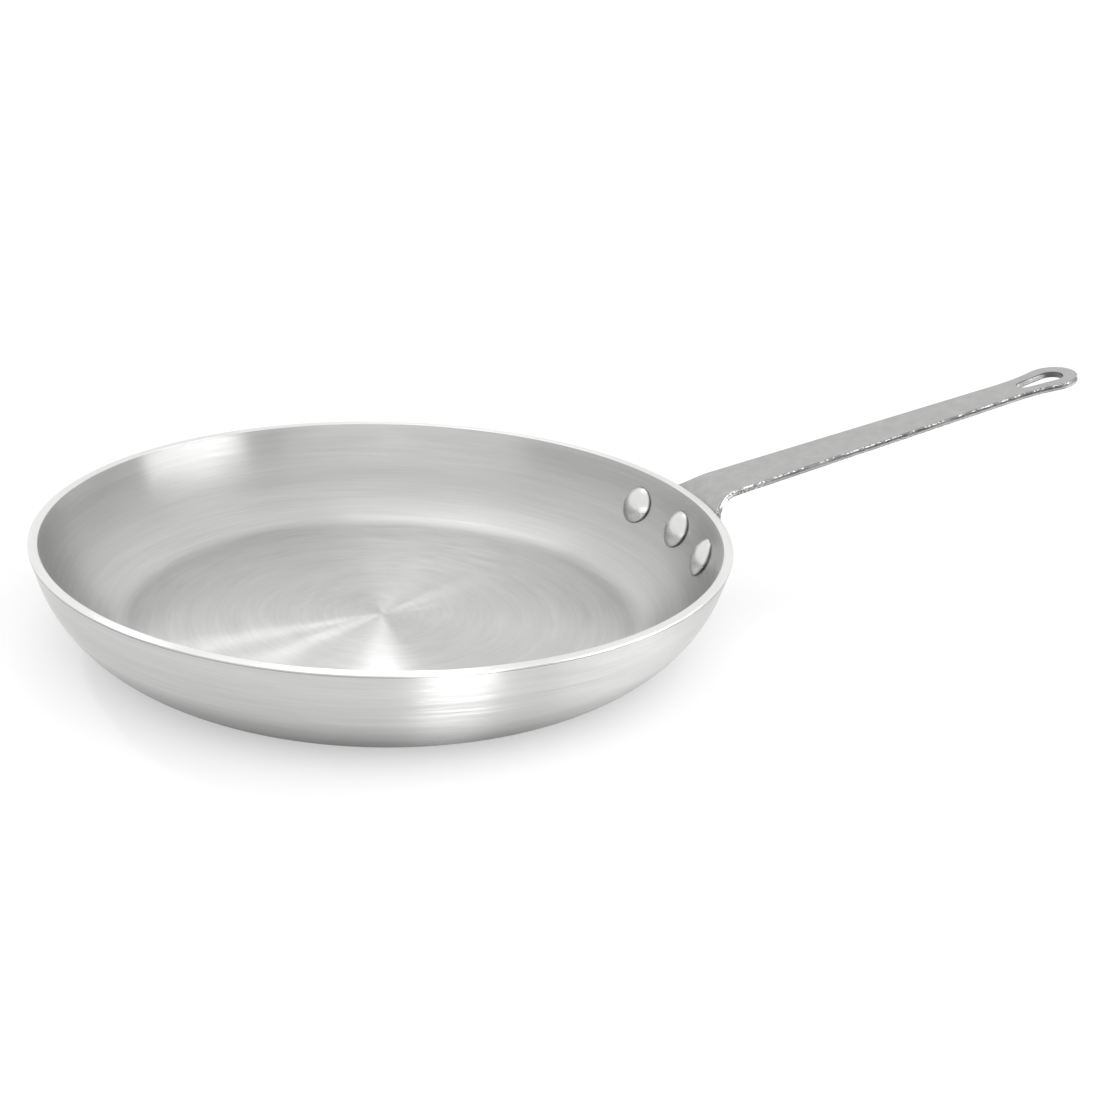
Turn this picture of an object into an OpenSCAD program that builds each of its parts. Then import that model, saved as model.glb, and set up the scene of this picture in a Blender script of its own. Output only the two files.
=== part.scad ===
// Omelette pan: a spun aluminium body with curved sides and one plated steel strap handle.
// The handle's saddle wraps the outside of the wall and three rivets hold it.
// Origin: the centre of the flat resting face. +Z is up and the handle points along +X.

/* [Pan body] */
// Outside diameter over the rim
rim_d = 300; // [300:5:305]
// Height from the resting face to the rim
pan_h = 47; // [45:2:49]
// Thickness of the floor and of the wall
wall_t = 4; // [3:0.25:4]
// Diameter of the flat resting face
base_d = 220; // [220:3:223]
// Outside radius of the corner between the resting face and the side
corner_r = 22; // [22:1:24]
// Slope at which the corner runs into the side, from level
corner_a = 30; // [28:2:32]
// Lean of the wall at the rim, from upright
lip_a = 15.5; // [14:1.5:15.5]
// Radius on the two edges of the rim
rim_edge_r = 0.7; // [0.4:0.1:0.7]

/* [Handle] */
// Thickness of the steel strap
strap_t = 3; // [2.5:0.5:4]
// Width of the strap where it leaves the saddle
neck_w = 26.6; // [25.6:0.5:27.6]
// Width of the strap just before the hanging eye
waist_w = 18.2; // [17.2:0.5:19.2]
// Reach of the handle's end from the pan's axis
reach = 346.5; // [333.5:6.5:359.5]
// Rise of the strap above level
rise_a = 13.2; // [11.2:1:15.2]
// Radius of the neck bend on its upper face
bend_r = 20; // [16:2:24]
// Distance below the rim, along the wall, at which the bend leaves the wall
bend_drop = 7.8; // [7:0.2:7.8]
// Diameter of the round end that holds the hanging eye
eye_d = 24.2; // [22.2:2:26.2]
// Radius of the hollow that runs from the strap's edge into the round end
eye_blend_r = 80; // [60:20:120]
// Width of the hanging slot at its wide end
slot_w = 10.9; // [10.9:1:11.9]
// Width of the hanging slot at its narrow end
slot_tip_w = 7.2; // [7:0.2:7.4]
// Length of the hanging slot
slot_len = 23.7; // [23.7:1:24.7]
// Metal left between the slot and the handle's end
slot_wall = 6.6; // [5.6:1:7.6]

/* [Saddle] */
// Width of the saddle plate across the wall
saddle_w = 94; // [92:2:106]
// Height of the saddle plate up the wall
saddle_h = 25; // [24:1:28]
// Radius of the saddle plate's corners
saddle_corner_r = 12; // [6:2:12]
// Radius of the hollows between the saddle's top edge and the strap
shoulder_r = 21; // [16:1:21]

/* [Rivets] */
// Angle between neighbouring rivets, about the pan's axis
rivet_pitch_a = 14.3; // [12:0.1:15]
// Depth of the rivets below the rim, on the outside of the wall
rivet_drop = 17.2; // [16:0.1:18.5]
// Diameter of the rivet shank, which fills its hole
shank_d = 7; // [5:0.5:8]
// Diameter of the domed head inside the pan
head_d = 18; // [14:1:20]
// Height of the domed head inside the pan
head_h = 4.4; // [3.4:0.1:5.4]
// Diameter of the formed head on the saddle
tail_d = 13.5; // [12:0.5:15]
// Height of the formed head on the saddle
tail_h = 3; // [2:0.1:4]

/* [Hidden] */
$fn = 144;

aluminium = [0.80, 0.80, 0.79];
plated_steel = [0.70, 0.70, 0.69];
polished_aluminium = [0.87, 0.87, 0.86];

// A direction in the side view that is square to a surface of slope g, on its outer side
function square_to(g) = [sin(g), -cos(g)];
// The direction up along a surface of slope g
function along(g) = [cos(g), sin(g)];

// The wall's outer face is a corner arc, a side arc and a straight lip. The side arc's radius
// and the lip's length follow from the rim's place, so that all three meet smoothly.
rim_r = rim_d / 2;
base_r = base_d / 2;
side_a = 90 - lip_a;
rim_corner_r = rim_r - rim_edge_r + rim_edge_r * (1 + sin(lip_a)) / cos(lip_a);
go_out = rim_corner_r - base_r - corner_r * sin(corner_a);
go_up = pan_h - corner_r * (1 - cos(corner_a));
out_per_r = sin(side_a) - sin(corner_a);
up_per_r = cos(corner_a) - cos(side_a);
det = out_per_r * sin(side_a) - up_per_r * cos(side_a);
side_r = (go_out * sin(side_a) - go_up * cos(side_a)) / det;
lip_len = (go_up * out_per_r - go_out * up_per_r) / det;
corner_c = [base_r, corner_r];
side_c = corner_c + (side_r - corner_r) * -square_to(corner_a);

// Points where the faces of the wall meet, on a face that lies off outside the outer one
function corner_end(off) = side_c + (side_r + off) * square_to(corner_a);
function side_end(off) = side_c + (side_r + off) * square_to(side_a);
rim_point = side_end(0) + lip_len * along(side_a);

// Centres of the rounds on the rim's outer and inner edges
rim_in_r = rim_corner_r - wall_t / cos(lip_a);
rim_round_out = [rim_r - rim_edge_r, pan_h - rim_edge_r];
rim_round_in = [rim_in_r + rim_edge_r * (1 - sin(lip_a)) / cos(lip_a), pan_h - rim_edge_r];

// Rivet row: slope of the wall there and the point where the axis meets the outer face
rivet_a = acos((side_c.y - (pan_h - rivet_drop)) / side_r);
rivet_p = side_c + side_r * square_to(rivet_a);

// Neck bend in the side view, on the strap's upper face
bend_start = rim_point - bend_drop * along(side_a);
bend_c = bend_start + bend_r * square_to(side_a);
bend_end = bend_c - bend_r * square_to(rise_a);
bend_mid_a = (side_a + rise_a) / 2;

// Hollow shoulders: how far up the bend the saddle plate's top edge lies, and how far behind the
// middle the wall has curved at their outer ends, so that they run out on that edge
shoulder_w = neck_w + 2 * shoulder_r;
bend_start_up = side_r * (side_a - rivet_a) * PI / 180 + lip_len - bend_drop;
plate_top_a = side_a - (saddle_h / 2 - bend_start_up) / bend_r * 180 / PI;
plate_top_at = -bend_r * sin(plate_top_a - bend_mid_a);
curved_back = pow(shoulder_w / 2, 2) / (2 * rim_r);
shoulder_low = plate_top_at - curved_back * (cos(bend_mid_a) - cos(rivet_a)) - 0.3;

// Strap along its slope, measured from the end of the bend
strap_len = (reach - strap_t * sin(rise_a) - bend_end.x) / cos(rise_a);
eye_at = strap_len - eye_d / 2;
eye_blend_back = sqrt(pow(eye_d / 2 + eye_blend_r, 2) - pow(waist_w / 2 + eye_blend_r, 2));
waist_at = eye_at - eye_blend_back;
slot_wide_at = strap_len - slot_wall - slot_w / 2;
slot_narrow_at = strap_len - slot_wall - slot_len + slot_tip_w / 2;
// Height of the upright edge under the cap of a rivet head
head_edge = 0.8;
// Angle through which the strap's side view is turned, more than the saddle covers
strap_turn = 60;
// Steps in which each corner of the saddle plate is cut
corner_steps = 6;
// Steps in which each hollow shoulder is cut
shoulder_steps = 12;
// Room that a cutting shape takes beyond the metal that it cuts
clear = 2;

// The part of a disc outside the chord between its slopes g0 and g1
module bulge(c, r, g0, g1) {
    reach_out = r * square_to((g0 + g1) / 2);
    p0 = c + r * square_to(g0);
    p1 = c + r * square_to(g1);
    intersection() {
        translate(c) circle(r);
        polygon([p0, p0 + reach_out, p1 + reach_out, p1]);
    }
}

// Half of the body cut through its axis
module pan_section() {
    difference() {
        union() {
            polygon([
                [0, 0],
                [base_r, 0],
                corner_end(0),
                side_end(0),
                rim_round_out + rim_edge_r * square_to(side_a),
                rim_round_out + [0, rim_edge_r],
                rim_round_in + [0, rim_edge_r],
                rim_round_in - rim_edge_r * square_to(side_a),
                side_end(-wall_t),
                corner_end(-wall_t),
                [base_r, wall_t],
                [0, wall_t]
            ]);
            bulge(corner_c, corner_r, 0, corner_a);
            bulge(side_c, side_r, corner_a, side_a);
            translate(rim_round_out) circle(rim_edge_r);
            translate(rim_round_in) circle(rim_edge_r);
        }
        bulge(corner_c, corner_r - wall_t, 0, corner_a);
        bulge(side_c, side_r - wall_t, corner_a, side_a);
    }
}

// The strap seen from the side: down the wall, round the neck bend and out to the end
module strap_section() {
    under = strap_t * square_to(rise_a);
    tip = bend_end + (strap_len + clear) * along(rise_a);
    difference() {
        union() {
            polygon([
                corner_end(0),
                corner_end(strap_t),
                side_end(strap_t),
                bend_start + strap_t * square_to(side_a),
                bend_end + under,
                tip + under,
                tip,
                bend_end,
                bend_start,
                side_end(0)
            ]);
            bulge(side_c, side_r + strap_t, corner_a, side_a);
            bulge(bend_c, bend_r, rise_a + 180, side_a + 180);
        }
        bulge(side_c, side_r, corner_a, side_a);
        bulge(bend_c, bend_r - strap_t, rise_a + 180, side_a + 180);
    }
}

// The strap turned about the pan's axis, so that the saddle wraps the wall without a gap
module strap() {
    rotate([0, 0, -strap_turn / 2]) rotate_extrude(angle = strap_turn, $fn = 288) strap_section();
}

// Moves a shape to the rivet row: its x runs outward, square to the wall
module at_rivet(a) {
    rotate([0, 0, a]) translate([rivet_p.x, 0, rivet_p.y]) rotate([0, 90 - rivet_a, 0]) children();
}

module rivet_hole(a) {
    at_rivet(a) rotate([0, 90, 0]) cylinder(h = 6 * wall_t, d = shank_d, center = true);
}

// Outline of the saddle plate, cut square to the wall at the rivet row
module saddle_cut() {
    straight = [saddle_w / 2 - saddle_corner_r, saddle_h / 2 - saddle_corner_r];
    at_rivet(0) rotate([90, 0, 90]) linear_extrude(2 * saddle_h, center = true) polygon([
        for (corner = [[1, -1], [1, 1], [-1, 1], [-1, -1]]) each [
            for (step = [0 : corner_steps])
                [corner.x * straight.x, corner.y * straight.y] + saddle_corner_r * [
                    cos(atan2(corner.y, corner.x) - 45 + 90 * step / corner_steps),
                    sin(atan2(corner.y, corner.x) - 45 + 90 * step / corner_steps)
                ]
        ]
    ]);
}

// Outline of the neck with its two hollow shoulders, cut square to the middle of the bend
module neck_cut() {
    neck_top = (bend_end - bend_c) * along(bend_mid_a) + clear;
    neck_bottom = -bend_r - clear;
    shoulder_at = shoulder_low + shoulder_r;
    function hollow(side, q) = [
        shoulder_at - shoulder_r * cos(q),
        side * (shoulder_w / 2 - shoulder_r * sin(q))
    ];
    translate([bend_c.x, 0, bend_c.y]) rotate([0, -bend_mid_a, 0]) linear_extrude(2 * bend_r) polygon([
        [neck_bottom, -shoulder_w / 2],
        for (step = [0 : shoulder_steps]) hollow(-1, 90 * step / shoulder_steps),
        [neck_top, -neck_w / 2],
        [neck_top, neck_w / 2],
        for (step = [shoulder_steps : -1 : 0]) hollow(1, 90 * step / shoulder_steps),
        [neck_bottom, shoulder_w / 2]
    ]);
}

// Outline of the tapering strap and its round end, cut square to the strap
module strap_cut() {
    translate([bend_end.x, 0, bend_end.y]) rotate([0, -rise_a, 0]) translate([0, 0, -3 * strap_t])
        linear_extrude(5 * strap_t) difference() {
            union() {
                polygon([
                    [0, -neck_w / 2],
                    [waist_at, -waist_w / 2],
                    [eye_at, -waist_w / 2],
                    [eye_at, waist_w / 2],
                    [waist_at, waist_w / 2],
                    [0, neck_w / 2]
                ]);
                translate([eye_at, 0]) circle(d = eye_d);
                eye_blend();
            }
            slot_outline();
        }
}

// Metal that carries the strap's edges out to the round end in two hollow curves
module eye_blend() {
    join = [eye_blend_back, waist_w / 2 + eye_blend_r] * eye_d / 2 / (eye_d / 2 + eye_blend_r);
    difference() {
        polygon([
            [waist_at, -waist_w / 2],
            [eye_at - join.x, -join.y],
            [eye_at, -waist_w / 2],
            [eye_at, waist_w / 2],
            [eye_at - join.x, join.y],
            [waist_at, waist_w / 2]
        ]);
        for (side = [-1, 1]) {
            translate([waist_at, side * (waist_w / 2 + eye_blend_r)]) circle(eye_blend_r);
        }
    }
}

// The hanging slot: round at both ends and wider towards the handle's end
module slot_outline() {
    wide_r = slot_w / 2;
    narrow_r = slot_tip_w / 2;
    lean = asin((wide_r - narrow_r) / (slot_wide_at - slot_narrow_at));
    translate([slot_wide_at, 0]) circle(wide_r);
    translate([slot_narrow_at, 0]) circle(narrow_r);
    polygon([
        for (side = [1, -1]) [slot_narrow_at, 0] + narrow_r * [-sin(lean), side * cos(lean)],
        for (side = [-1, 1]) [slot_wide_at, 0] + wide_r * [-sin(lean), side * cos(lean)]
    ]);
}

// A domed head of diameter d and height h: a ball's cap on an upright edge that reaches sink
// below the seat
module dome(d, h, sink) {
    cap_h = h - head_edge;
    ball_r = (d * d / 4 + cap_h * cap_h) / (2 * cap_h);
    translate([0, 0, -sink]) cylinder(h = sink + head_edge, d = d);
    intersection() {
        translate([0, 0, h - ball_r]) sphere(ball_r);
        translate([0, 0, head_edge]) cylinder(h = h, d = d);
    }
}

module pan_body() {
    color(aluminium) difference() {
        rotate_extrude($fn = 288) pan_section();
        for (i = [-1 : 1]) rivet_hole(i * rivet_pitch_a);
    }
}

module handle() {
    color(plated_steel) difference() {
        intersection() {
            strap();
            union() {
                saddle_cut();
                neck_cut();
                strap_cut();
            }
        }
        for (i = [-1 : 1]) rivet_hole(i * rivet_pitch_a);
    }
}

// One rivet: the domed head sits on the inside of the wall and the formed head on the saddle,
// and both are trimmed to the curve that they sit on
module rivet(a) {
    sink = 1;
    color(polished_aluminium) {
        difference() {
            at_rivet(a) translate([-wall_t, 0, 0]) rotate([0, -90, 0]) dome(head_d, head_h, sink);
            rotate_extrude($fn = 288) pan_section();
        }
        difference() {
            at_rivet(a) translate([strap_t, 0, 0]) rotate([0, 90, 0]) dome(tail_d, tail_h, sink);
            strap();
        }
        at_rivet(a) rotate([0, 90, 0]) translate([0, 0, -wall_t - sink])
            cylinder(h = wall_t + strap_t + 2 * sink, d = shank_d);
    }
}

// Left and right are as the cook sees them from the handle's end
module rivet_left() {
    rivet(-rivet_pitch_a);
}

module rivet_centre() {
    rivet(0);
}

module rivet_right() {
    rivet(rivet_pitch_a);
}

pan_body();
handle();
rivet_left();
rivet_centre();
rivet_right();
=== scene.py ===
import bpy, bmesh, math
from mathutils import Vector, Matrix
from mathutils.geometry import delaunay_2d_cdt


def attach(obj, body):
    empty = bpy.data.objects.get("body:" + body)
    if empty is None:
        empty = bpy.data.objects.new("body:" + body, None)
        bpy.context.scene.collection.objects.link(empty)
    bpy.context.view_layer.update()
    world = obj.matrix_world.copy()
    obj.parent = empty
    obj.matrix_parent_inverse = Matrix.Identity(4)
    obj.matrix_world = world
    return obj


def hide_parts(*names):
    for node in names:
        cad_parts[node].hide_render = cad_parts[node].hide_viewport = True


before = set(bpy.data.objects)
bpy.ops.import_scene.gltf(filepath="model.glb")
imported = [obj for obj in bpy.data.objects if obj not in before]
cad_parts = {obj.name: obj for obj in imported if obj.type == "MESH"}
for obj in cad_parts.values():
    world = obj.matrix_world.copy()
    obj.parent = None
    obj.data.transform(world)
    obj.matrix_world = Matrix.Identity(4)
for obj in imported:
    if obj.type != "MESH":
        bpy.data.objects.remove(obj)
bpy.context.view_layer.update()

# Pan body. One disc of 4 mm aluminium, spun over a former until it has a flat floor, a curved
# side and a leaning lip, then trimmed flat at the rim. The spinning tool and the final brushing
# leave fine rings round the axis, inside and out. Three holes take the rivets.

MM = 0.001
rim_r, pan_h, wall_t = 150.0, 47.0, 4.0
base_r, corner_r, corner_a = 110.0, 22.0, math.radians(30.0)
side_a = math.radians(90.0 - 15.5)
rim_edge_r = 0.7
pan_steps = 360


def square_to(g):
    """The way out of a surface that slopes up by the angle g."""
    return Vector((math.sin(g), -math.cos(g)))


def along(g):
    """The way up a surface that slopes by the angle g."""
    return Vector((math.cos(g), math.sin(g)))


lean = math.pi / 2 - side_a
rim_corner_r = rim_r - rim_edge_r + rim_edge_r * (1 + math.sin(lean)) / math.cos(lean)
go_out = rim_corner_r - base_r - corner_r * math.sin(corner_a)
go_up = pan_h - corner_r * (1 - math.cos(corner_a))
out_per_r = math.sin(side_a) - math.sin(corner_a)
up_per_r = math.cos(corner_a) - math.cos(side_a)
det = out_per_r * math.sin(side_a) - up_per_r * math.cos(side_a)
side_r = (go_out * math.sin(side_a) - go_up * math.cos(side_a)) / det
lip_len = (go_up * out_per_r - go_out * up_per_r) / det
corner_c = Vector((base_r, corner_r))
side_c = corner_c - (side_r - corner_r) * square_to(corner_a)
rim_in_r = rim_corner_r - wall_t / math.cos(lean)
rim_out = Vector((rim_r - rim_edge_r, pan_h - rim_edge_r))
rim_in = Vector((
    rim_in_r + rim_edge_r * (1 - math.sin(lean)) / math.cos(lean),
    pan_h - rim_edge_r,
))


def arc(centre, radius, g0, g1, step):
    """Points from slope g0 to slope g1 on a circle that lies on the outer side of its centre."""
    n = max(2, math.ceil(abs(g1 - g0) * abs(radius) / step))
    return [centre + radius * square_to(g0 + (g1 - g0) * i / n) for i in range(n + 1)]


def straight(p, q, step):
    """Points from p to q, no further apart than the step."""
    n = max(1, math.ceil((q - p).length / step))
    return [p.lerp(q, i / n) for i in range(n + 1)]


def joined(*runs):
    """One line of points from runs that meet, without the points that they share."""
    points = []
    for run in runs:
        points += [p for p in run if not points or (p - points[-1]).length > 1e-6]
    return points


def pan_half_section():
    """Underside, outer wall, rim, inner wall and floor, from the axis back to the axis. Each run
    ends with its longest step."""
    side_out = side_c + side_r * square_to(side_a)
    side_in = side_c + (side_r - wall_t) * square_to(side_a)
    return joined(
        straight(Vector((0, 0)), Vector((base_r, 0)), 4),
        arc(corner_c, corner_r, 0, corner_a, 1.0),
        arc(side_c, side_r, corner_a, side_a, 1.4),
        straight(side_out, rim_out + rim_edge_r * square_to(side_a), 1.6),
        arc(rim_out, rim_edge_r, side_a, math.pi, 0.18),
        straight(rim_out + Vector((0, rim_edge_r)), rim_in + Vector((0, rim_edge_r)), 0.7),
        arc(rim_in, rim_edge_r, math.pi, side_a + math.pi, 0.18),
        straight(rim_in - rim_edge_r * square_to(side_a), side_in, 1.6),
        arc(side_c, side_r - wall_t, side_a, corner_a, 1.3),
        arc(corner_c, corner_r - wall_t, corner_a, 0, 0.9),
        straight(Vector((base_r, wall_t)), Vector((0, wall_t)), 3),
    )


def mesh_object(name, verts, edges, faces):
    """A new object of plain points, edges and faces, in metres."""
    mesh = bpy.data.meshes.new(name)
    mesh.from_pydata([tuple(v) for v in verts], edges, faces)
    obj = bpy.data.objects.new(name, mesh)
    bpy.context.scene.collection.objects.link(obj)
    return obj


def section_line(name, points):
    """A half-section as a line of points, with its radius along X and its height along Z."""
    return mesh_object(
        name,
        [(r * MM, 0, a * MM) for r, a in points],
        [(i, i + 1) for i in range(len(points) - 1)],
        [],
    )


class Tree:
    """A node tree that is written down one node at a time."""

    def __init__(self, tree):
        self.tree = tree

    def add(self, kind, *inputs, **settings):
        node = self.tree.nodes.new(kind)
        for key, value in settings.items():
            setattr(node, key, value)
        for key, value in enumerate(inputs):
            self.put(node, key, value)
        return node

    def put(self, node, key, value):
        socket = node.inputs[key]
        if isinstance(value, bpy.types.NodeSocket):
            self.tree.links.new(value, socket)
        elif value is not None:
            socket.default_value = value

    def math(self, operation, a, b=None, c=None):
        return self.add("ShaderNodeMath", a, b, c, operation=operation).outputs[0]

    def vector(self, operation, a, b=None):
        return self.add("ShaderNodeVectorMath", a, b, operation=operation).outputs[0]

    def xyz(self, x, y, z):
        return self.add("ShaderNodeCombineXYZ", x, y, z).outputs[0]

    def all_of(self, *masks):
        """The product of two or more masks."""
        product = masks[0]
        for mask in masks[1:]:
            product = self.math("MULTIPLY", product, mask)
        return product

    def change(self, value, low, high, at_low, at_high, kind="LINEAR"):
        """Runs from at_low to at_high while the value runs from low to high."""
        node = self.add("ShaderNodeMapRange", value, low, high, at_low, at_high)
        node.interpolation_type = kind
        return node.outputs[0]

    def mix(self, share, a, b):
        return self.add("ShaderNodeMix", share, None, a, b, data_type="FLOAT").outputs[0]

    def darken(self, tone, mask, share):
        """Takes a share of the tone away where the mask is 1."""
        return self.math("MULTIPLY", tone, self.math("MULTIPLY_ADD", mask, -share, 1.0))

    def noise(self, place, scale, detail, roughness):
        node = self.add("ShaderNodeTexNoise", place)
        node.inputs["Scale"].default_value = scale
        node.inputs["Detail"].default_value = detail
        node.inputs["Roughness"].default_value = roughness
        return node.outputs[0]

    def mark(self, name):
        """A value that is stored on the piece's own points."""
        return self.add("ShaderNodeAttribute", attribute_name=name).outputs["Fac"]

    def metal(self, shader, tone, roughness, height, strength, depth):
        """Gives a shader its grey, its roughness and a fine relief of a depth in metres."""
        grey = self.add("ShaderNodeCombineColor", tone, tone, self.math("MULTIPLY", tone, 0.99))
        bump = self.add("ShaderNodeBump")
        bump.inputs["Strength"].default_value = strength
        bump.inputs["Distance"].default_value = depth
        self.put(bump, "Height", height)
        self.put(shader, "Base Color", grey.outputs[0])
        self.put(shader, "Roughness", roughness)
        self.put(shader, "Normal", bump.outputs[0])


weld = 1e-7  # points nearer than this, in metres, are one


def lathe_tree():
    """Turns a half-section, given as a line of points, round the Z axis."""
    group = bpy.data.node_groups.new("turn_round_axis", "GeometryNodeTree")
    face = group.interface
    face.new_socket("Half section", in_out="INPUT", socket_type="NodeSocketGeometry")
    face.new_socket("Steps round", in_out="INPUT", socket_type="NodeSocketInt")
    face.new_socket("Finish", in_out="INPUT", socket_type="NodeSocketMaterial")
    face.new_socket("Turned piece", in_out="OUTPUT", socket_type="NodeSocketGeometry")
    t = Tree(group)
    given = t.add("NodeGroupInput")
    section, steps, finish = given.outputs[0], given.outputs[1], given.outputs[2]
    size = t.add("GeometryNodeAttributeDomainSize", section, component="MESH")
    count = size.outputs["Point Count"]
    columns = t.math("ADD", steps, 1)
    grid = t.add("GeometryNodeMeshGrid", 1.0, 1.0, columns, count).outputs[0]
    index = t.add("GeometryNodeInputIndex").outputs[0]
    column = t.math("FLOOR", t.math("DIVIDE", index, count))
    row = t.math("FLOORED_MODULO", index, count)
    place = t.add("GeometryNodeInputPosition").outputs[0]
    sample = t.add("GeometryNodeSampleIndex", data_type="FLOAT_VECTOR", domain="POINT")
    t.put(sample, "Geometry", section)
    t.put(sample, "Value", place)
    t.put(sample, "Index", row)
    parts = t.add("ShaderNodeSeparateXYZ", sample.outputs[0])
    angle = t.math("DIVIDE", t.math("MULTIPLY", column, 2 * math.pi), steps)
    around = t.xyz(
        t.math("MULTIPLY", parts.outputs[0], t.math("COSINE", angle)),
        t.math("MULTIPLY", parts.outputs[0], t.math("SINE", angle)),
        parts.outputs[2],
    )
    placed = t.add("GeometryNodeSetPosition", grid, None, around).outputs[0]
    closed = t.add("GeometryNodeMergeByDistance", placed)
    t.put(closed, "Distance", weld)
    smooth = t.add("GeometryNodeSetShadeSmooth", closed.outputs[0]).outputs[0]
    real = t.add("GeometryNodeRealizeInstances", smooth).outputs[0]
    dressed = t.add("GeometryNodeSetMaterial", real)
    t.put(dressed, "Material", finish)
    t.add("NodeGroupOutput", dressed.outputs[0])
    return group


def shaped_mesh(obj):
    """The plain mesh of an object with its modifiers carried out."""
    bpy.context.view_layer.update()
    depsgraph = bpy.context.evaluated_depsgraph_get()
    return bpy.data.meshes.new_from_object(obj.evaluated_get(depsgraph), depsgraph=depsgraph)


def made_by(tree, obj, name, **inputs):
    """The plain mesh that a geometry tree makes of an object, as a new object at the origin."""
    modifier = obj.modifiers.new("shape", "NODES")
    modifier.node_group = tree
    for item in tree.interface.items_tree:
        key = item.name.replace(" ", "_").lower()
        if item.in_out == "INPUT" and key in inputs:
            modifier[item.identifier] = inputs[key]
    mesh = shaped_mesh(obj)
    mesh.name = name
    made = bpy.data.objects.new(name, mesh)
    bpy.context.scene.collection.objects.link(made)
    bpy.data.objects.remove(obj)
    return made


def face_out(obj):
    """Merges doubles and turns every face of a closed piece outwards."""
    work = bmesh.new()
    work.from_mesh(obj.data)
    bmesh.ops.remove_doubles(work, verts=work.verts, dist=weld)
    bmesh.ops.recalc_face_normals(work, faces=work.faces)
    if work.calc_volume(signed=True) < 0:
        bmesh.ops.reverse_faces(work, faces=work.faces)
    for f in work.faces:
        f.smooth = True
    work.to_mesh(obj.data)
    work.free()


def finish_material(name, roughness, anisotropy=0.0):
    """A new metal, its node tree and its shader."""
    material = bpy.data.materials.new(name)
    material.use_nodes = True
    material.node_tree.nodes.clear()
    t = Tree(material.node_tree)
    shader = t.add("ShaderNodeBsdfPrincipled")
    shader.inputs["Metallic"].default_value = 1.0
    shader.inputs["Roughness"].default_value = roughness
    shader.inputs["Anisotropic"].default_value = anisotropy
    t.add("ShaderNodeOutputMaterial", shader.outputs[0])
    return material, t, shader


axis_r, rim_shade_drop, rim_shade_w, trim_depth = 0.5, 0.95, 0.56, 0.4
deepest_scratch = 0.38


def spun_aluminium():
    """Brushed rings round the axis, fine and broad. Inside, the wall is a little darker higher up.
    Outside, painted shade darkens the wall towards the resting face and draws a dark line under the
    rim. The rim's trimmed face is lighter, partly its own fresh cut and partly a painted highlight."""
    material, t, shader = finish_material("spun_aluminium", 0.45, anisotropy=0.95)
    place = t.add("ShaderNodeTexCoord").outputs["Object"]
    parts = t.add("ShaderNodeSeparateXYZ", place)
    x, y, z = parts.outputs
    radius = t.math("SQRT", t.math("ADD", t.math("MULTIPLY", x, x), t.math("MULTIPLY", y, y)))
    safe = t.math("MAXIMUM", radius, axis_r * MM)
    cosine, sine = t.math("DIVIDE", x, safe), t.math("DIVIDE", y, safe)
    travel = t.math("ADD", radius, z)

    def rings(fineness, turns, detail, seed):
        """Noise that runs in arcs round the axis: fineness is per metre across them."""
        at = t.xyz(
            t.math("MULTIPLY_ADD", travel, fineness, seed),
            t.math("MULTIPLY", cosine, turns),
            t.math("MULTIPLY", sine, turns),
        )
        return t.noise(at, scale=1.0, detail=detail, roughness=0.6)

    scratches = rings(fineness=1200, turns=4.5, detail=4.0, seed=0.0)
    fine = t.math("MAXIMUM", scratches, deepest_scratch)
    middle = rings(fineness=420, turns=2.2, detail=3.0, seed=7.3)
    broad = rings(fineness=90, turns=1.2, detail=2.0, seed=3.1)
    tone = t.math("ADD", t.math("MULTIPLY", fine, 0.16), t.math("MULTIPLY", middle, 0.14))
    tone = t.math("ADD", tone, t.math("MULTIPLY", broad, 0.10))
    tone = t.math("ADD", tone, 0.44)
    normal = t.add("ShaderNodeTexCoord").outputs["Normal"]
    outside = t.math("LESS_THAN", t.add("ShaderNodeSeparateXYZ", normal).outputs[2], -0.1)
    inner_wall = t.change(z, low=0.006, high=0.022, at_low=1.0, at_high=0.82)
    # Painted shade: the outer wall darkens towards the resting face, for the shadowed table that it
    # reflects.
    outer_wall_shade = t.change(z, low=0.002, high=0.024, at_low=0.17, at_high=0.89)
    tone = t.math("MULTIPLY", tone, t.mix(outside, inner_wall, outer_wall_shade))
    # Painted shade: a thin dark line round the outside just under the rim.
    rim_shade_line = t.math("COMPARE", z, (pan_h - rim_shade_drop) * MM, rim_shade_w / 2 * MM)
    tone = t.darken(tone, t.all_of(rim_shade_line, outside), 0.4)
    # The rim's trimmed face is lighter: partly its own fresh cut, partly a painted highlight.
    trimmed = t.math("GREATER_THAN", z, (pan_h - trim_depth) * MM)
    bright = t.math("MULTIPLY_ADD", middle, 0.12, 0.78)
    tone = t.mix(trimmed, tone, bright)
    rough = t.math("MULTIPLY_ADD", fine, 0.34, 0.15)
    height = t.math("ADD", t.math("MULTIPLY", fine, 0.6), middle)
    t.metal(shader, tone, rough, height, strength=0.25, depth=0.00004)
    tangent = t.vector("CROSS_PRODUCT", t.xyz(cosine, sine, 0.0), (0.0, 0.0, 1.0))
    normal = t.add("ShaderNodeNewGeometry").outputs["Normal"]
    across = t.vector("CROSS_PRODUCT", tangent, normal)
    t.put(shader, "Tangent", across)
    return material


aluminium = spun_aluminium()
turning = lathe_tree()
line = section_line("half_section", pan_half_section())
pan = made_by(turning, line, "pan_body", steps_round=pan_steps, finish=aluminium)
face_out(pan)

rivet_pitch, rivet_drop, shank_r = math.radians(14.3), 17.2, 3.5
hole_steps, drill_len = 48, 30.0
rivet_a = math.acos((side_c.y - (pan_h - rivet_drop)) / side_r)
rivet_p = side_c + side_r * square_to(rivet_a)


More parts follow.
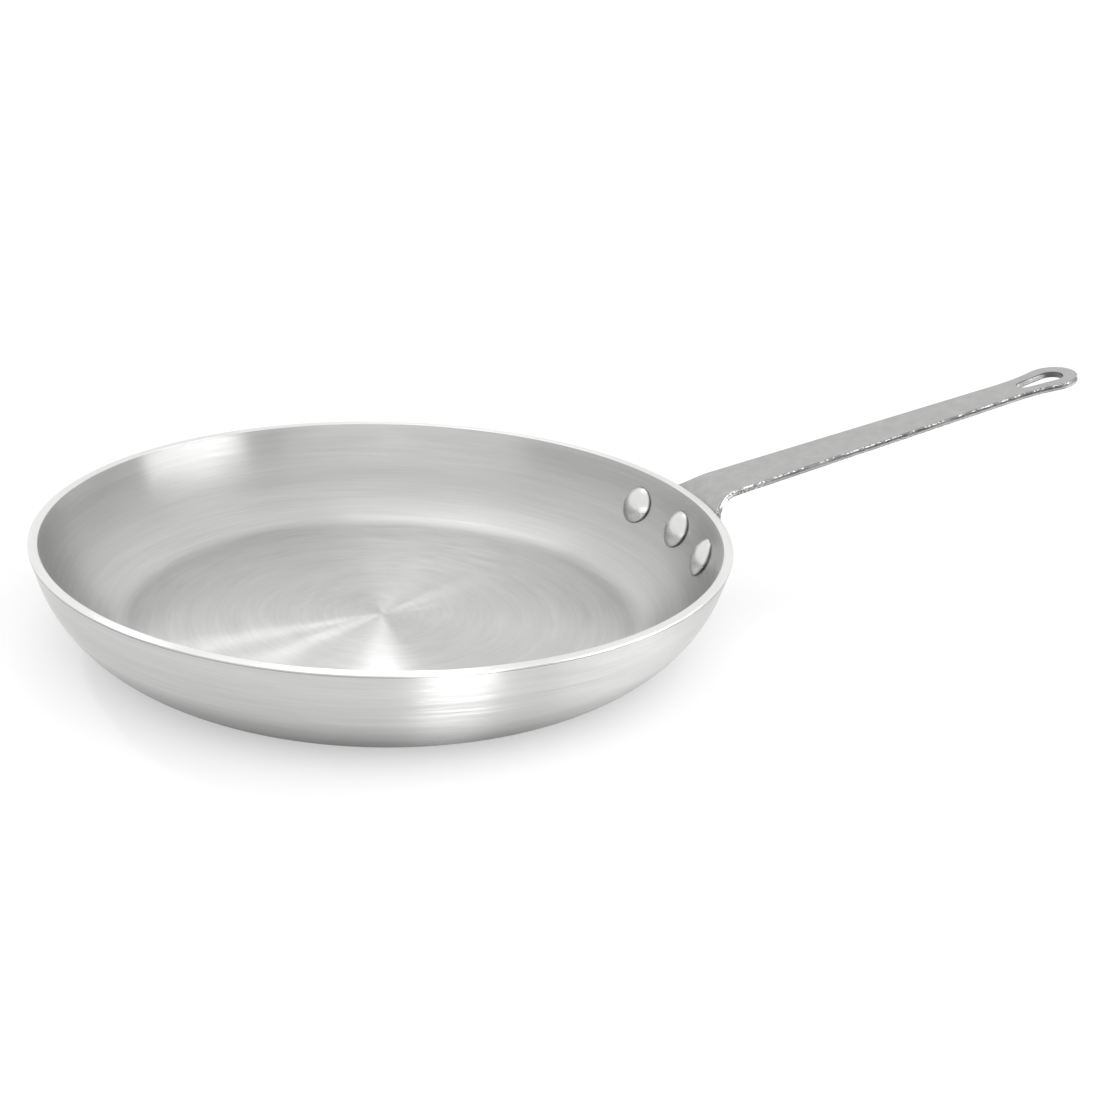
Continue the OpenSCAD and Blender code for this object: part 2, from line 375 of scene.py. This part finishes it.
def at_rivet(turn):
    """Place of a rivet: X runs outward, square to the wall, Y round the pan and Z up the wall."""
    return (
        Matrix.Rotation(turn, 4, "Z")
        @ Matrix.Translation(Vector((rivet_p.x, 0, rivet_p.y)) * MM)
        @ Matrix.Rotation(math.pi / 2 - rivet_a, 4, "Y")
    )


def drill(obj):
    """Drills the three rivet holes through a closed piece."""
    work = bmesh.new()
    for i in (-1, 0, 1):
        bmesh.ops.create_cone(
            work,
            cap_ends=True,
            segments=hole_steps,
            radius1=shank_r * MM,
            radius2=shank_r * MM,
            depth=drill_len * MM,
            matrix=at_rivet(i * rivet_pitch) @ Matrix.Rotation(math.pi / 2, 4, "Y"),
        )
    mesh = bpy.data.meshes.new("drill")
    work.to_mesh(mesh)
    work.free()
    cutter = bpy.data.objects.new("drill", mesh)
    bpy.context.scene.collection.objects.link(cutter)
    cut = obj.modifiers.new("holes", "BOOLEAN")
    cut.operation, cut.solver, cut.object = "DIFFERENCE", "EXACT", cutter
    drilled = shaped_mesh(obj)
    obj.modifiers.clear()
    drilled.name = obj.name
    obj.data = drilled
    bpy.data.objects.remove(cutter)


drill(pan)
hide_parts("pan_body")
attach(pan, "root")

# Handle. One strap of 3 mm steel, punched out with its hanging slot, bent over at the neck and
# pressed round the pan's wall to make the saddle, then tumbled and plated. Its punched edges are
# slightly rounded. Painted shade darkens the cut wall beside them, and painted glints light the
# rounds in specks.

strap_t, neck_w, waist_w, reach = 3.0, 26.6, 18.2, 346.5
rise_a, bend_r, bend_drop = math.radians(13.2), 20.0, 7.8
eye_r, eye_blend_r = 12.1, 80.0
slot_wide_r, slot_narrow_r, slot_len, slot_wall = 5.45, 3.6, 23.7, 6.6
saddle_w, saddle_h, saddle_corner_r = 94.0, 25.0, 12.0
shoulder_r, shoulder_sink = 21.0, 0.3
strap_edge_r, slot_edge_r, hole_edge_r = 0.5, 0.35, 0.1

side_end = side_c + side_r * square_to(side_a)
lip_used = lip_len - bend_drop
bend_start = side_end + lip_used * along(side_a)
bend_c = bend_start + bend_r * square_to(side_a)
bend_end = bend_c - bend_r * square_to(rise_a)
bend_mid_a = (side_a + rise_a) / 2
strap_len = (reach - strap_t * math.sin(rise_a) - bend_end.x) / math.cos(rise_a)
eye_at = strap_len - eye_r
waist_at = eye_at - math.sqrt((eye_r + eye_blend_r) ** 2 - (waist_w / 2 + eye_blend_r) ** 2)
arc_len = side_r * (side_a - rivet_a)
bend_len = bend_r * (side_a - rise_a)


def strap_line(s):
    """Point and slope on the strap's wall side, s along it from the rivet row."""
    if s < arc_len:
        g = rivet_a + s / side_r
        return side_c + side_r * square_to(g), g
    s -= arc_len
    if s < lip_used:
        return side_end + s * along(side_a), side_a
    s -= lip_used
    if s < bend_len:
        g = side_a - s / bend_r
        return bend_c - bend_r * square_to(g), g
    return bend_end + (s - bend_len) * along(rise_a), rise_a


def strap_point(s, y, depth):
    """A point of the strap: s along it, y across it, depth into it from the wall side."""
    p, g = strap_line(s)
    p = p + depth * square_to(g)
    return Vector((math.sqrt(p.x * p.x - y * y), y, p.y)) * MM


search_below, search_above, halvings = 40.0, 20.0, 48


def s_where(y, origin, slope, level):
    """The s at which the strap's line at y reaches a level along a slope from an origin."""
    low, high = -search_below, arc_len + lip_used + bend_len + strap_len + search_above
    axis = along(slope)
    for _ in range(halvings):
        mid = (low + high) / 2
        p, _g = strap_line(mid)
        at = Vector((math.sqrt(p.x * p.x - y * y), p.y)) - origin
        low, high = (mid, high) if at.dot(axis) < level else (low, mid)
    return (low + high) / 2


def in_steps(a, b, n):
    """Values from a to b in n equal steps."""
    return [a + (b - a) * i / n for i in range(n + 1)]


def strap_outline():
    """Half of the strap's outline, from the middle of the saddle's lower edge to the tip."""
    half_w, half_h, c = saddle_w / 2, saddle_h / 2, saddle_corner_r
    quarter, taper_start = math.pi / 2, 0.02

    def plate(y, level):
        return s_where(y, rivet_p, rivet_a, level), y

    def neck(y, level):
        return s_where(y, bend_c, bend_mid_a, level), y

    def strap(y, level):
        return s_where(y, bend_end, rise_a, level), y

    shoulder_w = neck_w + 2 * shoulder_r
    start_up = arc_len + lip_used
    plate_top_a = side_a - (half_h - start_up) / bend_r
    plate_top = -bend_r * math.sin(plate_top_a - bend_mid_a)
    curved_back = (shoulder_w / 2) ** 2 / (2 * rim_r)
    shoulder_low = plate_top - curved_back * (math.cos(bend_mid_a) - math.cos(rivet_a))
    shoulder_low -= shoulder_sink
    points = [plate(y, -half_h) for y in in_steps(0, half_w - c, 30)]
    points += [
        plate(half_w - c + c * math.sin(q), -half_h + c - c * math.cos(q))
        for q in in_steps(0, quarter, 20)[1:]
    ]
    points += [
        plate(half_w - c + c * math.cos(q), half_h - c + c * math.sin(q))
        for q in in_steps(0, quarter, 20)
    ]
    hollow = [
        neck(
            shoulder_w / 2 - shoulder_r * math.cos(q),
            shoulder_low + shoulder_r - shoulder_r * math.sin(q),
        )
        for q in in_steps(0, quarter, 28)
    ]
    hollow = [p for p in hollow if p[0] > plate(p[1], half_h)[0]]
    hollow.reverse()
    points += [plate(y, half_h) for y in in_steps(half_w - c, hollow[0][1], 10)[1:-1]]
    points += hollow
    points += [
        strap(neck_w / 2 + (waist_w - neck_w) / 2 * q, waist_at * q)
        for q in in_steps(taper_start, 1, 110)
    ]
    blend_y = waist_w / 2 + eye_blend_r
    turn = math.atan2(blend_y, eye_at - waist_at)
    points += [
        strap(blend_y - eye_blend_r * math.cos(q), waist_at + eye_blend_r * math.sin(q))
        for q in in_steps(0, quarter - turn, 20)[1:]
    ]
    points += [
        strap(eye_r * math.sin(q), eye_at + eye_r * math.cos(q))
        for q in in_steps(math.pi - turn, 0, 48)[1:]
    ]
    points[-1] = (points[-1][0], 0.0)
    return points


def slot_outline():
    """The hanging slot: a wide round near the tip, a narrow one towards the pan, straight sides."""
    wide_at = strap_len - slot_wall - slot_wide_r
    narrow_at = strap_len - slot_wall - slot_len + slot_narrow_r
    lean_in = math.asin((slot_wide_r - slot_narrow_r) / (wide_at - narrow_at))
    half = [
        (wide_at + slot_wide_r * math.cos(q), slot_wide_r * math.sin(q))
        for q in in_steps(0, math.pi / 2 + lean_in, 24)
    ]
    half += [
        (narrow_at + slot_narrow_r * math.cos(q), slot_narrow_r * math.sin(q))
        for q in in_steps(math.pi / 2 + lean_in, math.pi, 14)
    ]
    half[-1] = (half[-1][0], 0.0)
    loop = half + [(a, -b) for a, b in reversed(half[1:-1])]
    return [(s_where(y, bend_end, rise_a, level), y) for level, y in loop]


def inset_loop(loop, amount):
    """A closed loop moved to its left by an amount."""
    moved = []
    for i, p in enumerate(loop):
        before, after = Vector(loop[i - 1]), Vector(loop[(i + 1) % len(loop)])
        way = (after - before).normalized()
        moved.append((p[0] - way.y * amount, p[1] + way.x * amount))
    return moved


def inside(p, loop):
    """Whether a point lies inside a closed loop."""
    hit = False
    for i, a in enumerate(loop):
        b = loop[i - 1]
        if (a[1] > p[1]) != (b[1] > p[1]):
            if p[0] < (b[0] - a[0]) * (p[1] - a[1]) / (b[1] - a[1]) + a[0]:
                hit = not hit
    return hit


def turns_left(loop):
    """Whether a closed loop runs anticlockwise."""
    return sum(a[0] * b[1] - b[0] * a[1] for a, b in zip(loop, loop[1:] + loop[:1])) > 0


edge_rounds, edge_margin, hole_facets = 4, 0.25, 32
cut_rows = 0.3, 0.45, 0.6, 0.72
edge_share, wall_share = 0.9, 0.6  # how far back a round still counts as edge and as cut wall
face_pitch, cell_w = 1.5, 3.0


def edge_profile(e):
    """Rows of points down a cut edge with a round of radius e, from the wall side to the far side:
    depth into the strap, and distance back from the cut."""
    near = [(0.0, e + edge_margin)]
    near += [
        (e * (1 - math.cos(q)), e * (1 - math.sin(q)))
        for q in in_steps(0, math.pi / 2, edge_rounds)
    ]
    wall = [(strap_t * share, 0.0) for share in cut_rows]
    return near + wall + [(strap_t - depth, back) for depth, back in reversed(near)]


def face_points(outer, holes):
    """Points all over the strap's face, in staggered rows, that keep a pitch off every cut edge."""
    near = {}
    for loop in (outer, *holes):
        for p in map(Vector, loop):
            near.setdefault((int(p.x // cell_w), int(p.y // cell_w)), []).append(p)
    low_s, high_s = min(p[0] for p in outer), max(p[0] for p in outer)
    rows = math.ceil(saddle_w / 2 / face_pitch)
    points = []
    for i in range(int((high_s - low_s) / face_pitch) + 1):
        for j in range(-rows, rows + 1):
            stagger = face_pitch / 2 if i % 2 else 0
            p = Vector((low_s + i * face_pitch, j * face_pitch + stagger))
            if abs(p.y) > saddle_w / 2 or not inside(p, outer) or any(inside(p, h) for h in holes):
                continue
            u, v = int(p.x // cell_w), int(p.y // cell_w)
            cells = [(u + a, v + b) for a in (-1, 0, 1) for b in (-1, 0, 1)]
            if all((p - q).length > face_pitch for cell in cells for q in near.get(cell, [])):
                points.append(p)
    return points


def store(obj, name, values):
    """Stores one value on each point of a piece, under a name that its finish reads."""
    obj.data.attributes.new(name, "FLOAT", "POINT").data.foreach_set("value", values)


def strap_mesh():
    """The handle as one closed mesh. Its points store what the finish needs to know: where the
    outline's rounded edge is, how deep in its cut wall they lie, and where the slot's wall is."""
    half = strap_outline()
    outer = half + [(s, -y) for s, y in reversed(half[1:-1])]
    if not turns_left(outer):
        outer.reverse()
    slot = slot_outline()
    holes = [slot]
    for i in (-1, 0, 1):
        centre = Vector((0.0, rivet_p.x * math.sin(i * rivet_pitch)))
        squeeze = math.cos(i * rivet_pitch)
        holes.append([
            (centre.x + shank_r * math.cos(q), centre.y + squeeze * shank_r * math.sin(q))
            for q in in_steps(0, 2 * math.pi, hole_facets)[:-1]
        ])
    for loop in holes:
        if turns_left(loop):
            loop.reverse()
    verts, faces, flats = [], [], []
    marks = {"edge": [], "cut_depth": [], "slot_wall": []}
    for loop in (outer, *holes):
        e = strap_edge_r if loop is outer else slot_edge_r if loop is slot else hole_edge_r
        rows = []
        for depth, back in edge_profile(e):
            rows.append(range(len(verts), len(verts) + len(loop)))
            verts += [strap_point(s, y, depth) for s, y in inset_loop(loop, back)]
            rounded = back < e * edge_share and (depth < e or depth > strap_t - e)
            cut = back < e * wall_share
            marks["edge"] += [float(loop is outer and rounded)] * len(loop)
            marks["cut_depth"] += [depth / strap_t if loop is outer and cut else 0.0] * len(loop)
            marks["slot_wall"] += [float(loop is slot and back < e)] * len(loop)
        for a, b in zip(rows, rows[1:]):
            faces += [(a[k - 1], a[k], b[k], b[k - 1]) for k in range(len(loop))]
        flats.append(inset_loop(loop, e + edge_margin))
    points, edges = [], []
    for flat in flats:
        first = len(points)
        points += [Vector(p) for p in flat]
        edges += [(first + k, first + (k + 1) % len(flat)) for k in range(len(flat))]
    points += face_points(outer, holes)
    coords, _edges, tris, *_rest = delaunay_2d_cdt(points, edges, [], 0, 1e-6)
    middles = [sum((coords[k] for k in tri), Vector((0, 0))) / len(tri) for tri in tris]
    kept = [
        tri
        for tri, middle in zip(tris, middles)
        if inside(middle, flats[0]) and not any(inside(middle, h) for h in flats[1:])
    ]
    for depth in (0.0, strap_t):
        base = len(verts)
        verts += [strap_point(p[0], p[1], depth) for p in coords]
        faces += [tuple(base + k for k in tri) for tri in kept]
    for values in marks.values():
        values += [0.0] * (len(verts) - len(values))
    obj = mesh_object("handle", verts, [], faces)
    for name, values in marks.items():
        store(obj, name, values)
    return obj


def plated_steel():
    """Tumbled steel under thin bright plating, with soft mottling and small pits. Painted glints
    light the rounded edge in specks. On the free part of the strap painted shade darkens the cut
    wall, more in patches, and the rounded edge; nearer the pan painted shade darkens the cut wall
    in streaks, and painted shade darkens the slot's wall in patches."""
    material, t, shader = finish_material("plated_steel", 0.36)
    place = t.add("ShaderNodeTexCoord").outputs["Object"]
    cloudy = t.noise(place, scale=160, detail=4.0, roughness=0.6)
    grain = t.noise(place, scale=900, detail=3.0, roughness=0.65)
    patch = t.noise(place, scale=38, detail=2.0, roughness=0.5)
    cluster = t.noise(place, scale=210, detail=2.0, roughness=0.5)
    edge, depth, in_slot = t.mark("edge"), t.mark("cut_depth"), t.mark("slot_wall")
    out_along = t.add("ShaderNodeSeparateXYZ", place).outputs[0]
    free = t.change(out_along, low=0.168, high=0.186, at_low=0.0, at_high=1.0)
    # Painted shade in patches along the middle of the free strap's cut wall.
    patchy_cut_shade = t.all_of(
        t.change(depth, low=0.10, high=0.2, at_low=0.0, at_high=1.0, kind="SMOOTHSTEP"),
        t.change(depth, low=0.66, high=0.5, at_low=0.0, at_high=1.0),
        t.change(patch, low=0.40, high=0.56, at_low=0.45, at_high=1.0),
        t.change(grain, low=0.35, high=0.55, at_low=0.6, at_high=1.0),
        free,
    )
    tone = t.math("MULTIPLY_ADD", cloudy, 0.18, 0.315)
    tone = t.math("ADD", tone, t.math("MULTIPLY", grain, 0.08))
    # Painted shade on the free strap's cut wall.
    tone = t.darken(tone, t.all_of(t.math("GREATER_THAN", depth, 0.2), free), 0.45)
    # Painted shade on the free strap's rounded edge.
    tone = t.darken(tone, t.all_of(edge, free), 0.5)
    tone = t.darken(tone, patchy_cut_shade, 0.8)
    # Painted shade on the slot's wall, in patches.
    slot_shade = t.change(patch, low=0.42, high=0.58, at_low=0.22, at_high=0.44, kind="SMOOTHSTEP")
    tone = t.math("MULTIPLY", tone, t.mix(in_slot, 1.0, slot_shade))
    # Painted glints in specks along the rounded edge.
    in_cluster, light = t.math("GREATER_THAN", cluster, 0.46), t.math("GREATER_THAN", grain, 0.5)
    painted_glints = t.all_of(edge, in_cluster, light)
    tone = t.math("ADD", tone, t.math("MULTIPLY", painted_glints, 0.45))
    cut = t.math("GREATER_THAN", depth, 0.05)
    # Painted shade, in streaks, on the cut wall nearer the pan.
    near_pan = t.all_of(cut, t.math("SUBTRACT", 1.0, free))
    tone = t.math("ADD", tone, t.all_of(near_pan, t.math("MULTIPLY_ADD", grain, 0.9, -0.62)))
    dull = t.math("MULTIPLY", t.all_of(cut, free), 0.16)
    rough = t.math("ADD", t.math("MULTIPLY_ADD", cloudy, 0.16, 0.26), dull)
    height = t.math("ADD", cloudy, t.math("MULTIPLY", grain, 0.35))
    t.metal(shader, tone, rough, height, strength=0.5, depth=0.0003)
    return material


handle = strap_mesh()
handle.data.materials.append(plated_steel())
face_out(handle)
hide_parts("handle")
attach(handle, "root")

# Rivets. Three solid aluminium rivets, put in from inside the pan, so that the large domed heads
# show there, and closed over the saddle into smaller heads. Each head sits down on the curve.

head_r, head_h, tail_r, tail_h, head_edge = 9.0, 4.4, 6.75, 3.0, 0.8
head_ring_r, tail_ring_r = 5.2, 4.6
crown_share, crown_steps, round_w, round_h, seat_row = 0.965, 22, 0.06, 0.22, 0.3
rivet_steps = 64


def dome(r, h, seat, way):
    """Half-section of a head, from crown to seat: a cap, a small round and an upright edge."""
    cap = h - head_edge
    ball = (r * r + cap * cap) / (2 * cap)
    top = seat + way * h
    fall = math.asin(r / ball)
    points = [
        (ball * math.sin(q), top - way * ball * (1 - math.cos(q)))
        for q in in_steps(0, fall * crown_share, crown_steps)
    ]
    points += [(r - round_w, top - way * (cap + round_w)), (r, top - way * (cap + round_h))]
    points += [(r, seat + way * seat_row), (r, seat)]
    return points


def rivet_half_section():
    """From the inner head's crown down the shank to the formed head's crown. A ring of points in
    the middle of each seat lets it follow the curve of the wall."""
    inner = dome(head_r, head_h, -wall_t, -1)
    outer = dome(tail_r, tail_h, strap_t, 1)
    shank = [(shank_r, a) for a in (-wall_t, 0, strap_t)]
    return [*inner, (head_ring_r, -wall_t), *shank, (tail_ring_r, strap_t), *reversed(outer)]


def rivet_row_tree():
    """Copies one rivet round the pan's axis, a pitch angle apart."""
    group = bpy.data.node_groups.new("rivet_row", "GeometryNodeTree")
    face = group.interface
    face.new_socket("Rivet", in_out="INPUT", socket_type="NodeSocketGeometry")
    face.new_socket("Count", in_out="INPUT", socket_type="NodeSocketInt")
    face.new_socket("Pitch", in_out="INPUT", socket_type="NodeSocketFloat")
    face.new_socket("Finish", in_out="INPUT", socket_type="NodeSocketMaterial")
    face.new_socket("Row", in_out="OUTPUT", socket_type="NodeSocketGeometry")
    t = Tree(group)
    given = t.add("NodeGroupInput")
    rivet, count, pitch, finish = given.outputs[:4]
    points = t.add("GeometryNodePoints", count).outputs[0]
    index = t.add("GeometryNodeInputIndex").outputs[0]
    middle = t.math("MULTIPLY", t.math("SUBTRACT", count, 1), 0.5)
    turn = t.math("MULTIPLY", t.math("SUBTRACT", index, middle), pitch)
    copies = t.add("GeometryNodeInstanceOnPoints")
    t.put(copies, "Points", points)
    t.put(copies, "Instance", rivet)
    t.put(copies, "Rotation", t.xyz(0.0, 0.0, turn))
    real = t.add("GeometryNodeRealizeInstances", copies.outputs[0]).outputs[0]
    smooth = t.add("GeometryNodeSetShadeSmooth", real).outputs[0]
    dressed = t.add("GeometryNodeSetMaterial", smooth)
    t.put(dressed, "Material", finish)
    t.add("NodeGroupOutput", dressed.outputs[0])
    return group


def polished_aluminium():
    """Bright aluminium with the faint marks of the set tool, and painted shade in a dark line round
    the seat.
    """
    material, t, shader = finish_material("polished_aluminium", 0.3)
    shader.inputs["Coat Weight"].default_value = 1.0
    shader.inputs["Coat Roughness"].default_value = 0.06
    place = t.add("ShaderNodeTexCoord").outputs["Object"]
    faint = t.noise(place, scale=280, detail=3.0, roughness=0.5)
    # Painted shade: a dark line round each head's seat.
    tone = t.darken(t.math("MULTIPLY_ADD", faint, 0.10, 0.68), t.mark("seat_line"), 0.85)
    rough = t.math("MULTIPLY_ADD", faint, 0.12, 0.22)
    t.metal(shader, tone, rough, faint, strength=0.2, depth=0.0001)
    return material


def seat_line(co):
    """How much painted shade a point of a rivet takes: rises from 0 to 1 over the last part of a
    head's radius.
    """
    line_from, line_w = 0.93, 0.05
    share = math.hypot(co.x, co.y) / MM / (head_r if co.z < 0 else tail_r)
    return max(0.0, min(1.0, (share - line_from) / line_w))


def seated(co):
    """Turns a point of an upright rivet to lie along X, with the seats on the wall's curve."""
    hair = 1e-4
    u, w, a = co.x / MM, co.y / MM, co.z / MM
    for seat in (-wall_t, strap_t):
        if abs(a - seat) < hair and math.hypot(u, w) > shank_r + 100 * hair:
            round_pan = math.sin(rivet_a) / (rivet_p.x + seat * math.sin(rivet_a))
            up_wall = 1 / (side_r + seat)
            a -= (w * w * round_pan + u * u * up_wall) / 2
    return Vector((a, w, -u)) * MM


rivet_finish = polished_aluminium()
line = section_line("rivet_section", rivet_half_section())
rivet = made_by(turning, line, "one_rivet", steps_round=rivet_steps, finish=rivet_finish)
store(rivet, "seat_line", [seat_line(v.co) for v in rivet.data.vertices])
for v in rivet.data.vertices:
    v.co = seated(v.co)
rivet.data.transform(at_rivet(0))
row = rivet_row_tree()
rivets = made_by(row, rivet, "rivets", count=3, pitch=rivet_pitch, finish=rivet_finish)
face_out(rivets)
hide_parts("rivet_left", "rivet_centre", "rivet_right")
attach(rivets, "root")

# The table top, the soft studio light and the camera. The table is white where the light falls on
# it and keeps the pan's shadow, and the far side of the room is as white as the table.


def seen_rays(t):
    """1 for what is seen, directly or in metal and glass, and 0 for light that is scattered on."""
    path = t.add("ShaderNodeLightPath").outputs
    seen = t.math("MAXIMUM", path["Is Camera Ray"], path["Is Glossy Ray"])
    return t.math("MAXIMUM", seen, path["Is Transmission Ray"])


table_w, table_grey, table_glow = 60.0, 0.65, 0.42
corners = [(x * table_w / 2, y * table_w / 2, 0) for x, y in ((-1, -1), (1, -1), (1, 1), (-1, 1))]
floor = mesh_object("floor", corners, [], [(0, 1, 2, 3)])
material = bpy.data.materials.new("pale_table")
material.use_nodes = True
material.node_tree.nodes.clear()
t = Tree(material.node_tree)
matt = t.add("ShaderNodeBsdfDiffuse", (table_grey, table_grey, table_grey, 1))
white = t.add("ShaderNodeEmission", (1, 1, 1, 1))
t.put(white, "Strength", t.math("MULTIPLY", seen_rays(t), table_glow))
both = t.add("ShaderNodeAddShader", matt.outputs[0], white.outputs[0])
t.add("ShaderNodeOutputMaterial", both.outputs[0])
floor.data.materials.append(material)

room_seen, room_light = 1.0, 0.9
world = bpy.data.worlds.new("studio")
bpy.context.scene.world = world
world.use_nodes = True
world.node_tree.nodes.clear()
t = Tree(world.node_tree)
sky = t.add("ShaderNodeBackground", (1, 1, 1, 1))
t.put(sky, "Strength", t.mix(seen_rays(t), room_light, room_seen))
t.add("ShaderNodeOutputWorld", sky.outputs[0])


camera_side = -16


def softbox(
    name, side, up, away, wide, tall, strength, aim=(0, 0, 0.02), spread=180, shape="RECTANGLE"
):
    """A flat light: degrees right of the camera, degrees up, metres away, its size in metres, its
    brightness as a multiple of white, the point that it faces, and the angle to which a grid
    narrows its beam."""
    turn, lift = math.radians(side + camera_side), math.radians(up)
    level = math.cos(lift)
    way = Vector((math.sin(turn) * level, -math.cos(turn) * level, math.sin(lift)))
    lamp = bpy.data.lights.new(name, "AREA")
    lamp.shape, lamp.size, lamp.size_y = shape, wide, tall
    lamp.energy = math.pi * wide * tall * strength
    lamp.spread = math.radians(spread)
    obj = bpy.data.objects.new(name, lamp)
    obj.location = way * away
    obj.rotation_euler = (Vector(aim) - way * away).to_track_quat("-Z", "Y").to_euler()
    bpy.context.scene.collection.objects.link(obj)


softbox("low front strip", 20, 2.2, 0.62, 0.20, 0.044, 65.0)
softbox("low right strip", 78, 1.6, 0.9, 1.0, 0.034, 17.0)
softbox("front fill", -8, 13, 1.8, 4.0, 1.0, 0.5, shape="ELLIPSE")
softbox("right", 76, 6.5, 1.6, 1.3, 0.38, 5.2, shape="ELLIPSE")
softbox("back", -163, 64, 1.6, 0.6, 0.8, 0.9)
softbox("gridded, for the fan", 177, 62, 0.9, 0.30, 0.14, 0.17, aim=(-0.03, -0.15, 0.0), spread=11)
softbox("gridded, left", -126, 48, 0.8, 0.25, 0.14, 0.11, aim=(-0.065, -0.05, 0.0), spread=9)
softbox("gridded, far left", -140, 30, 0.7, 0.12, 0.06, 0.10, aim=(-0.03, -0.012, 0.0), spread=7)

focal_px, photo_px, sensor_w = 1600, 1100, 36.0
camera_data = bpy.data.cameras.new("camera")
camera_data.sensor_width = sensor_w
camera_data.lens = sensor_w * focal_px / photo_px
camera_data.shift_x = 0.1
camera = bpy.data.objects.new("camera", camera_data)
camera.location = (-0.17909, -0.62457, 0.29202)
camera.rotation_euler = [math.radians(a) for a in (68.403, -1.592, -17.558)]
bpy.context.scene.collection.objects.link(camera)
bpy.context.scene.camera = camera

bpy.context.scene.view_settings.view_transform = "Standard"
